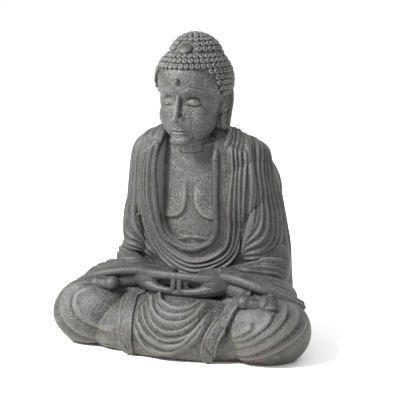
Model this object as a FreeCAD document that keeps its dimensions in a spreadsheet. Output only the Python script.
"""Seated Buddha garden statue: hollow cast-stone sections, bonded where the robe, neck, hands and feet meet.

Millimetres, +Z up, the figure faces -Y, and the origin is under the middle of the base.
"""
import FreeCAD, Part

import math
import os

from FreeCAD import Placement, Rotation, Vector

doc = FreeCAD.newDocument("seated_buddha")
sheet = doc.addObject("Spreadsheet::Sheet", "Sheet")

# ---------------------------------------------------------------- driving dimensions
# alias, value in millimetres (degrees where the name ends in Turn)
DIMENSIONS = [
    ("wall", 8.0),                # thickness of every casting
    ("span", 300.0),              # half size of the blocks that only cut or keep
    # lap casting: crossed legs under the robe
    ("kneeSpread", 147.0), ("kneeFront", -52.0), ("kneeLevel", 41.0),
    ("kneeWide", 73.0), ("kneeDeep", 68.0), ("kneeHigh", 63.0),
    ("shinFront", -46.0), ("shinLevel", 30.0),
    ("shinWide", 172.0), ("shinDeep", 92.0), ("shinHigh", 60.0),
    ("hipBack", 42.0), ("hipLevel", 42.0),
    ("hipWide", 168.0), ("hipDeep", 99.0), ("hipHigh", 64.0),
    ("thighSpread", 106.0), ("thighFront", -18.0), ("thighLevel", 58.0),
    ("thighWide", 90.0), ("thighDeep", 58.0), ("thighHigh", 48.0), ("thighTurn", 20.0),
    ("seatLevel", 62.0),          # joint between the lap and the torso
    ("deckThick", 8.0), ("hatchWide", 70.0), ("hatchDeep", 38.0),
    # closing plate let into the underside
    ("plateThick", 8.0), ("plateFit", 0.3), ("ledgeWide", 12.0), ("drainRadius", 8.0), ("drainBack", 60.0),
    # torso casting
    ("seamBack", 34.0),           # the front and back shells meet on this plane
    ("openHalf", 48.0), ("openArcLevel", 206.0), ("openTop", 370.0), ("openDepth", 4.0), ("collarThick", 9.0),
    ("chestBack", 25.0), ("chestLevel", 245.0),
    ("chestWide", 80.0), ("chestDeep", 48.0), ("chestHigh", 128.0),
    # sleeves over the thighs
    ("sleeveSpread", 110.0), ("sleeveFront", -12.0), ("sleeveLevel", 90.0),
    ("sleeveWide", 84.0), ("sleeveDeep", 58.0), ("sleeveHigh", 40.0), ("sleeveTurn", 18.0),
    # neck and head
    ("neckBack", 4.0), ("neckRadius", 34.0), ("neckFoot", 290.0), ("neckTop", 348.0), ("neckBore", 8.0),
    ("skullBack", 3.0), ("skullLevel", 424.0), ("skullWide", 58.0), ("skullDeep", 65.0), ("skullHigh", 55.0),
    ("jawBack", -14.0), ("jawLevel", 368.0), ("jawWide", 46.0), ("jawDeep", 47.0), ("jawHigh", 45.0),
    ("domeBack", 8.0), ("domeLevel", 452.0), ("domeWide", 43.0), ("domeDeep", 47.0), ("domeHigh", 44.6),
    ("faceSeam", 18.0),           # the face and the back of the head meet on this plane
    ("earSpread", 51.0), ("earBack", 6.0), ("earLevel", 382.0),
    ("earWide", 8.0), ("earDeep", 14.0), ("earHigh", 35.0),
    ("curlRadius", 4.3), ("curlTip", 1.6), ("curlHigh", 3.4), ("curlPitch", 9.8),
    ("jewelRadius", 11.5), ("jewelThick", 4.0), ("jewelFront", -25.7), ("jewelLevel", 469.0),
    ("urnaRadius", 4.5), ("urnaFront", -62.0), ("urnaLevel", 426.0),
    # hands in the lap
    ("palmReach", 46.0), ("palmFront", -52.0), ("leftPalmLevel", 105.0), ("rightPalmLevel", 104.0),
    ("palmWide", 46.0), ("palmDeep", 24.0), ("palmHigh", 13.0), ("leftPalmTurn", 6.0), ("rightPalmTurn", 9.0),
    ("palmGap", 0.2), ("fingerRadius", 4.6), ("fingerFront", -68.0),
    ("fingerFoot", 96.0), ("fingerTop", 118.0),
    ("thumbReach", 34.0), ("thumbLevel", 120.0),
    ("dowelRadius", 4.0), ("wristReach", 87.0), ("wristFront", -52.0), ("wristLevel", 107.0),
    ("dowelLong", 34.0), ("dowelFit", 0.05),
    # feet on the thighs
    ("leftFootSpread", 144.0), ("leftFootFront", -84.0), ("leftFootLevel", 96.0),
    ("rightFootSpread", 126.0), ("rightFootFront", -73.0), ("rightFootLevel", 99.0),
    ("footWide", 31.0), ("footDeep", 16.0), ("footHigh", 15.0), ("footTurn", 12.0),
    ("toeRadius", 5.2), ("toePitch", 6.6),
    # robe hanging down the front of the lap
    ("drapeThick", 5.0), ("fanThick", 3.0),
    ("fanLeft", -46.0), ("fanRight", 62.0), ("fanFoot", 8.0), ("fanTop", 92.0),
    ("bandWide", 28.0), ("bandFoot", 8.5), ("bandTop", 110.0), ("drapeBack", -62.0),
    ("leftBandFoot", 82.0), ("leftBandLean", 15.0), ("rightBandFoot", -61.0), ("rightBandLean", 2.0),
]

for row, (alias, value) in enumerate(DIMENSIONS, start=1):
    sheet.set(f"A{row}", alias)
    sheet.set(f"B{row}", str(value))
    sheet.setAlias(f"B{row}", alias)
doc.recompute()
SIZE = dict(DIMENSIONS)

# torso cross-sections: level, half-width, half-depth, distance of the centre behind the origin
TORSO_RINGS = [
    (62, 156, 72, 48),
    (110, 156, 69, 50),
    (155, 151, 67, 50),
    (230, 139, 77, 39),
    (285, 127, 74, 32),
    (318, 111, 62, 27),
    (340, 76, 50, 22),
    (350, 48, 42, 18),
]
JEWEL_LEAN = 45.0                 # degrees the jewel's face is tipped back


# ---------------------------------------------------------------- building blocks
def cell(text):
    """An expression in which each bare alias is read from the sheet."""
    return " ".join("Sheet." + word if word in SIZE else word for word in text.split())


def bind(item, **expressions):
    """Drives an object's properties from the sheet."""
    for name, text in expressions.items():
        item.setExpression(name.replace("_", "."), cell(text))
    return item


def place(item, x="0", y="0", z="0"):
    return bind(item, Placement_Base_x=x, Placement_Base_y=y, Placement_Base_z=z)


def ball(name, centre, radii, turn=0.0, inset="0"):
    """An ellipsoid: centre and radii (x, y, z) as sheet expressions, turned about Z by degrees."""
    item = doc.addObject("Part::Ellipsoid", name)
    item.Placement = Placement(Vector(), Rotation(Vector(0, 0, 1), turn))
    wide, deep, high = (f"{r} - {inset}" for r in radii)
    bind(item, Radius2=wide, Radius3=deep, Radius1=high)
    return place(item, *centre)


def rod(name, radius, length, at, axis=Vector(0, 0, 1)):
    item = doc.addObject("Part::Cylinder", name)
    item.Placement = Placement(Vector(), Rotation(Vector(0, 0, 1), axis))
    bind(item, Radius=radius, Height=length)
    return place(item, *at)


def block(name, x, y, z):
    """A box from three (low, high) pairs of sheet expressions."""
    item = doc.addObject("Part::Box", name)
    bind(item, Length=f"( {x[1]} ) - ( {x[0]} )", Width=f"( {y[1]} ) - ( {y[0]} )",
         Height=f"( {z[1]} ) - ( {z[0]} )")
    return place(item, x[0], y[0], z[0])


def join(name, *items):
    item = doc.addObject("Part::MultiFuse", name)
    item.Shapes = list(items)
    return item


def cut(name, base, *tools):
    """base less each tool in turn."""
    for number, tool in enumerate(tools, start=1):
        item = doc.addObject("Part::Cut", name if number == len(tools) else f"{name}_step{number}")
        item.Base = base
        item.Tool = tool
        base = item
    return base


def overlap(name, *items):
    item = doc.addObject("Part::MultiCommon", name)
    item.Shapes = list(items)
    return item


def arch(name, grow, depth_to):
    """The robe's open front as a solid: upright sides over a round foot, openHalf plus grow wide each way."""
    half = f"openHalf + {grow}"
    upper = block(name + "_sides", (f"- ( {half} )", half), ("- span", depth_to), ("openArcLevel", "openTop"))
    lower = rod(name + "_foot", half, f"span + {depth_to}", ("0", "- span", "openArcLevel"), Vector(0, 1, 0))
    return join(name, upper, lower)


kept = []


def part(label, item):
    """Names one sub-part, which is then written to parts/LABEL.step."""
    item.Label = label
    kept.append(item)
    return item


# ---------------------------------------------------------------- lap
def lap_mass(name, inset="0"):
    """The crossed legs as one mass: two knees, two thighs, the shins and the hips."""
    members = [
        ball(name + "_shins", ("0", "shinFront", "shinLevel"), ("shinWide", "shinDeep", "shinHigh"),
             0, inset),
        ball(name + "_hips", ("0", "hipBack", "hipLevel"), ("hipWide", "hipDeep", "hipHigh"), 0, inset),
    ]
    for side, sign in (("left", "1"), ("right", "-1")):
        turn = SIZE["thighTurn"] * -float(sign)
        members.append(ball(f"{name}_knee_{side}", (f"{sign} * kneeSpread", "kneeFront", "kneeLevel"),
                            ("kneeWide", "kneeDeep", "kneeHigh"), 0, inset))
        members.append(ball(f"{name}_thigh_{side}", (f"{sign} * thighSpread", "thighFront", "thighLevel"),
                            ("thighWide", "thighDeep", "thighHigh"), turn, inset))
    return join(name, *members)


def torso_mass(name, inset=0.0, foot=None, top_inset=0.0):
    """A loft through the torso's rings, each drawn in or out by inset."""
    rings = []
    for number, (level, half_wide, half_deep, back) in enumerate(TORSO_RINGS):
        ring = doc.addObject("Part::Ellipse", f"{name}_ring{number}")
        ring.MajorRadius = half_wide - inset
        ring.MinorRadius = half_deep - inset
        low = foot if number == 0 and foot is not None else level
        ring.Placement.Base = Vector(0, back, low - (top_inset if number >= 5 else 0.0))
        rings.append(ring)
    item = doc.addObject("Part::Loft", name)
    item.Sections = rings
    item.Solid = True
    item.Ruled = False
    return item


WALL = SIZE["wall"]
EVERYWHERE = ("- span", "span")
above_floor = block("above_floor", EVERYWHERE, EVERYWHERE, ("0", "200"))
lap_outer = overlap("lap_outer", lap_mass("lap_legs"), above_floor)
lap_cavity = cut("lap_cavity", lap_mass("lap_hollow", "wall"),
                 torso_mass("torso_foot_wall", -WALL, SIZE["seatLevel"] - SIZE["deckThick"]),
                 block("below_rim", EVERYWHERE, EVERYWHERE, ("- span", "plateThick")))
torso_full = torso_mass("torso_full")
hatch = doc.addObject("Part::Ellipse", "hatch_ring")
bind(hatch, MajorRadius="hatchWide", MinorRadius="hatchDeep")
place(hatch, "0", "hipBack", "seatLevel - 2 * deckThick")
hatch_hole = doc.addObject("Part::Extrusion", "hatch_hole")
hatch_hole.Base = hatch
hatch_hole.Dir = Vector(0, 0, 1)
hatch_hole.Solid = True
bind(hatch_hole, LengthFwd="3 * deckThick")


def plate_blank(name, extra):
    """The outline of the base plate: the lap's own footprint drawn in by the ledge."""
    drawn_in = lap_mass(name + "_legs", f"ledgeWide - {extra}")
    slab = block(name + "_slab", EVERYWHERE, EVERYWHERE, ("0", "plateThick"))
    return overlap(name, drawn_in, slab)


lap_shell = part("lap_shell", cut("lap_shell", lap_outer, torso_full, lap_cavity, hatch_hole,
                                  plate_blank("plate_rebate", "plateFit")))
drain = rod("drain_hole", "drainRadius", "3 * plateThick", ("0", "drainBack", "- plateThick"))
part("base_plate", cut("base_plate", plate_blank("plate_solid", "0"), drain))


# ---------------------------------------------------------------- torso
wide_opening = arch("wide_opening", "collarThick", "openDepth")
opening = arch("opening", "0", "openDepth")
torso_hollow = torso_mass("torso_hollow", WALL, SIZE["seatLevel"] - 4.0, 7.0)
neck_socket = rod("neck_socket", "neckRadius", "neckTop - neckFoot + 50", ("0", "neckBack", "neckFoot"))
front_half = block("front_half", EVERYWHERE, ("- span", "seamBack"), ("0", "2 * span"))
torso_wall = cut("torso_wall", torso_full, torso_hollow)
part("torso_front_shell", cut("torso_front_shell", overlap("torso_front_half", torso_wall, front_half),
                              wide_opening, neck_socket))
part("torso_back_shell", cut("torso_back_shell", torso_wall, front_half, neck_socket))

chest_ball = ("0", "chestBack", "chestLevel"), ("chestWide", "chestDeep", "chestHigh")
chest_solid = ball("chest_solid", *chest_ball)
chest_window = arch("chest_window", "collarThick + 4", "openDepth")
chest_front = cut("chest_front", chest_solid, ball("chest_hollow", *chest_ball, 0, "wall"))
chest_clearance = torso_mass("torso_inside", WALL + 0.3, None, 8.0)
torso_inside = overlap("chest_in_torso", chest_front, chest_window, chest_clearance)
part("chest_panel", cut("chest_panel", torso_inside, neck_socket))
collar_ring = cut("collar_ring", wide_opening, opening)
part("robe_collar", cut("robe_collar", overlap("collar_in_torso", collar_ring, torso_full), chest_solid,
                        neck_socket))

# ---------------------------------------------------------------- sleeves, with the pins that carry the hands
SIDES = (("left", 1), ("right", -1))
sleeve_mass = {}
dowel_seat = {}
for side, sign in SIDES:
    pin_at = (f"{sign} * ( wristReach - dowelLong / 2 )", "wristFront", "wristLevel")
    outwards = Vector(sign, 0, 0)
    dowel_seat[side] = rod(f"wrist_seat_{side}", "dowelRadius + dowelFit", "dowelLong", pin_at, outwards)
    part(f"wrist_dowel_{side}", rod(f"wrist_dowel_{side}", "dowelRadius", "dowelLong", pin_at, outwards))
    sleeve_mass[side] = ball(f"sleeve_mass_{side}", (f"{sign} * sleeveSpread", "sleeveFront", "sleeveLevel"),
                             ("sleeveWide", "sleeveDeep", "sleeveHigh"), -sign * SIZE["sleeveTurn"])
    part(f"sleeve_{side}", cut(f"sleeve_{side}", sleeve_mass[side], torso_full, lap_outer, dowel_seat[side]))

# ---------------------------------------------------------------- neck and head
neck_bore = rod("neck_bore", "neckBore", "neckTop - neckFoot + 142", ("0", "neckBack", "neckFoot - 10"))
skull_at = ("0", "skullBack", "skullLevel")
skull_radii = ("skullWide", "skullDeep", "skullHigh")
jaw_at = ("0", "jawBack", "jawLevel")
jaw_radii = ("jawWide", "jawDeep", "jawHigh")
head_mass = join("head_mass", ball("skull", skull_at, skull_radii), ball("jaw", jaw_at, jaw_radii))
part("neck", cut("neck", rod("neck_rod", "neckRadius", "neckTop - neckFoot", ("0", "neckBack", "neckFoot")),
                 head_mass, neck_bore))
head_hollow = join("head_hollow", ball("skull_hollow", skull_at, skull_radii, 0, "wall"),
                   ball("jaw_hollow", jaw_at, jaw_radii, 0, "wall"))
head_wall = cut("head_wall", head_mass, head_hollow, neck_bore)
face_side = block("face_side", EVERYWHERE, ("- span", "faceSeam"), ("0", "2 * span"))
part("head_face_shell", overlap("head_face_shell", head_wall, face_side))
part("head_back_shell", cut("head_back_shell", head_wall, face_side))
dome_mass = ball("dome_mass", ("0", "domeBack", "domeLevel"), ("domeWide", "domeDeep", "domeHigh"))

for side, sign in SIDES:
    ear = ball(f"ear_mass_{side}", (f"{sign} * earSpread", "earBack", "earLevel"),
               ("earWide", "earDeep", "earHigh"))
    part(f"ear_{side}", cut(f"ear_{side}", ear, head_mass))

part("neck_pin", rod("neck_pin", "neckBore - dowelFit", "neckTop - neckFoot", ("0", "neckBack", "neckFoot")))

# jewel on the front of the crown, tipped back with it
jewel_lean = math.radians(JEWEL_LEAN)
jewel_out = Vector(0, -math.cos(jewel_lean), math.sin(jewel_lean))
jewel = rod("jewel_rod", "jewelRadius", "3 * jewelThick", ("0", "jewelFront", "jewelLevel"), jewel_out)
part("crown_dome", cut("crown_dome", dome_mass, head_mass, jewel))
part("crown_jewel", cut("crown_jewel", jewel, head_mass))
urna = ball("urna_ball", ("0", "urnaFront", "urnaLevel"), ("urnaRadius", "urnaRadius", "urnaRadius"))
part("urna_bead", cut("urna_bead", urna, head_mass))


# ---------------------------------------------------------------- hair curls
def curls_on(centre, radii, keep):
    """Small blunt cones in rings over an ellipsoid, square to its surface, where keep(point) is true."""
    found = []
    wide, deep, high = radii
    pitch = SIZE["curlPitch"]
    rings = int(math.pi * (deep + high) / 2 / pitch)
    for ring in range(rings + 1):
        polar = math.pi * ring / rings
        girth = math.pi * (wide + deep) * math.sin(polar)
        count = max(1, int(girth / pitch))
        for number in range(count):
            around = 2 * math.pi * (number + 0.5 * (ring % 2)) / count
            flat = math.sin(polar)
            way = Vector(flat * math.sin(around), -flat * math.cos(around), math.cos(polar))
            point = centre + Vector(way.x * wide, way.y * deep, way.z * high)
            out = Vector(way.x / wide, way.y / deep, way.z / high).normalize()
            if keep(point):
                found.append(Part.makeCone(SIZE["curlRadius"], SIZE["curlTip"], SIZE["curlHigh"], point, out))
    return found


def inside(point, centre, radii, grow):
    return sum(((point[k] - centre[k]) / (radii[k] + grow)) ** 2 for k in range(3)) < 1.0


SKULL = (Vector(0, SIZE["skullBack"], SIZE["skullLevel"]),
         (SIZE["skullWide"], SIZE["skullDeep"], SIZE["skullHigh"]))
DOME = (Vector(0, SIZE["domeBack"], SIZE["domeLevel"]),
        (SIZE["domeWide"], SIZE["domeDeep"], SIZE["domeHigh"]))
HAIRLINE_LEVEL = 443.0            # at the forehead; the hair reaches NAPE_LEVEL at the back
NAPE_LEVEL = 372.0
EAR_BEHIND = 16.0


def clear_of_jewel(point):
    seat = Vector(0, SIZE["jewelFront"], SIZE["jewelLevel"])
    return (point - seat).Length > SIZE["jewelRadius"] + SIZE["curlRadius"] + 3.0


def on_scalp(point):
    """True above the hairline, which runs level over the brow and drops behind the ears."""
    if inside(point, *DOME, 3.0) or not clear_of_jewel(point):
        return False
    behind = (point.y - EAR_BEHIND) / 12.0
    drop = min(1.0, max(0.0, 0.5 + behind))
    return point.z > HAIRLINE_LEVEL + (NAPE_LEVEL - HAIRLINE_LEVEL) * drop + 2.0


def on_dome(point):
    return clear_of_jewel(point) and not inside(point, *SKULL, 3.5)


for label, base, keep in (("hair_curls_scalp", SKULL, on_scalp), ("hair_curls_dome", DOME, on_dome)):
    curls = doc.addObject("Part::Feature", label)
    curls.Shape = Part.makeCompound(curls_on(*base, keep))
    part(label, curls)


# ---------------------------------------------------------------- hands and feet
def hand(side, sign):
    """Palm, finger bed, upright index finger and thumb, resting on the lap and pinned into the sleeve."""
    members = [
        ball(f"palm_{side}", (f"{sign} * palmReach", "palmFront", f"{side}PalmLevel"),
             ("palmWide", "palmDeep", "palmHigh"), sign * SIZE[f"{side}PalmTurn"]),
        ball(f"finger_bed_{side}", (f"{sign} * 20", "fingerFront", "fingerFoot"), ("22", "9", "7")),
        rod(f"index_{side}", "fingerRadius", "fingerTop - fingerFoot",
            (f"{sign} * ( fingerRadius + 3 * palmGap )", "fingerFront", "fingerFoot")),
        rod(f"thumb_{side}", "fingerRadius", "thumbReach - 3 * palmGap",
            (f"{sign} * thumbReach", "fingerFront + 2", "thumbLevel"), Vector(-sign, 0, 0)),
    ]
    own_side = block(f"hand_side_{side}", ("palmGap", "span") if sign > 0 else ("- span", "- palmGap"),
                     EVERYWHERE, ("0", "span"))
    mass = overlap(f"hand_mass_{side}", join(f"hand_members_{side}", *members), own_side)
    return cut(f"hand_{side}", mass, torso_full, lap_outer, sleeve_mass[side], dowel_seat[side])


def foot(side, sign):
    """An upturned sole on the thigh, with its five toes pointing outwards."""
    lean = sign * SIZE["footTurn"]
    members = [ball(f"sole_{side}", (f"{sign} * {side}FootSpread", f"{side}FootFront", f"{side}FootLevel"),
                    ("footWide", "footDeep", "footHigh"), lean)]
    for number in range(5):
        reach = f"{sign} * ( {side}FootSpread + footWide - {2 + 1.5 * number} )"
        toe_at = (reach, f"{side}FootFront - 12 + {number} * toePitch", f"{side}FootLevel + 3")
        members.append(ball(f"toe_{side}_{number}", toe_at,
                            ("1.7 * toeRadius", "0.7 * toeRadius", "toeRadius"), lean))
    solid = join(f"foot_members_{side}", *members)
    return cut(f"foot_{side}", solid, lap_outer, sleeve_mass[side], torso_full)


hands = {side: part(f"hand_{side}", hand(side, sign)) for side, sign in SIDES}
feet = {side: part(f"foot_{side}", foot(side, sign)) for side, sign in SIDES}


# ---------------------------------------------------------------- robe down the front of the lap
def front_drape(label, thick, window):
    """A skin of even thickness lying on the front of the lap inside the window block."""
    grown = lap_mass(label + "_skin", f"- {thick}")
    return cut(label, overlap(label + "_cover", grown, window), lap_outer)


bands = []
for side, sign in SIDES:
    foot_mid = f"{side}BandFoot"
    window = block(f"band_window_{side}", (f"{foot_mid} - bandWide / 2", f"{foot_mid} + bandWide / 2"),
                   ("- span", "drapeBack"), ("bandFoot", "bandTop"))
    window.Placement.Rotation = Rotation(Vector(0, 1, 0), SIZE[f"{side}BandLean"])
    band = front_drape(f"band_{side}", "drapeThick", window)
    bands.append(part(f"robe_band_{side}", cut(f"robe_band_{side}", band, feet[side], *hands.values())))
fan_window = block("fan_window", ("fanLeft", "fanRight"), ("- span", "drapeBack"), ("fanFoot", "fanTop"))
fan = front_drape("fan", "fanThick", fan_window)
part("lap_drape", cut("lap_drape", fan, *bands, *hands.values()))

# ---------------------------------------------------------------- check and write
doc.recompute()
failed = [item.Name for item in doc.Objects if {"Invalid", "Error"} & set(item.State)]
if failed:
    raise SystemExit(f"these objects failed: {failed}")
os.makedirs("parts", exist_ok=True)
for item in kept:
    shape = item.Shape
    if shape.isNull() or not shape.isValid():
        raise SystemExit(f"{item.Label} has no valid shape")
    shape.exportStep(f"parts/{item.Label}.step")
    print(f"{item.Label:22s} solids {len(shape.Solids):3d}  volume {shape.Volume / 1000:9.2f} cm3")
